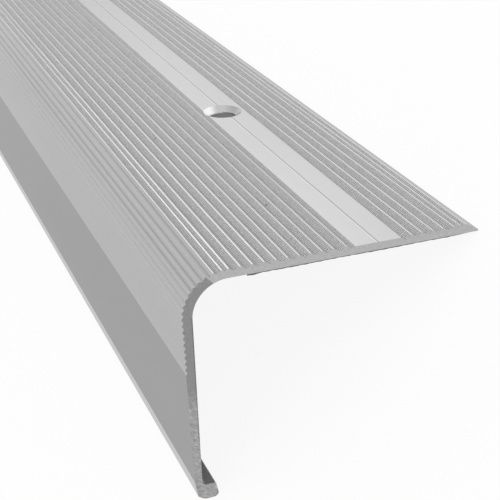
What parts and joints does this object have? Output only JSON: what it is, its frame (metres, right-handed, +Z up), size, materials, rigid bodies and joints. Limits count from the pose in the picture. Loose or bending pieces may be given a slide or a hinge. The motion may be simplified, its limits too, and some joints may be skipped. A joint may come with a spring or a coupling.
{
  "type": "anti-slip stair nosing",
  "caption": "Ribbed aluminium angle that covers the front edge of a step: anti-slip tread flange with a countersunk screw band, rounded nose, and front leg with a hooked foot.",
  "frame": {"origin": "middle of the length and of the width, on the floor that the piece lies on", "axes": "+X along the extrusion, +Y from the foot of the leg to the rear edge of the tread, +Z up; the piece lies ribs up on its foot and its rear edge"},
  "size_m": [0.9, 0.085, 0.0425],
  "materials": {
    "anodised_aluminium": "silver anodised, satin"
  },
  "bodies": {
    "root": {"stair_nosing": "anodised_aluminium"}
  },
  "joints": []
}
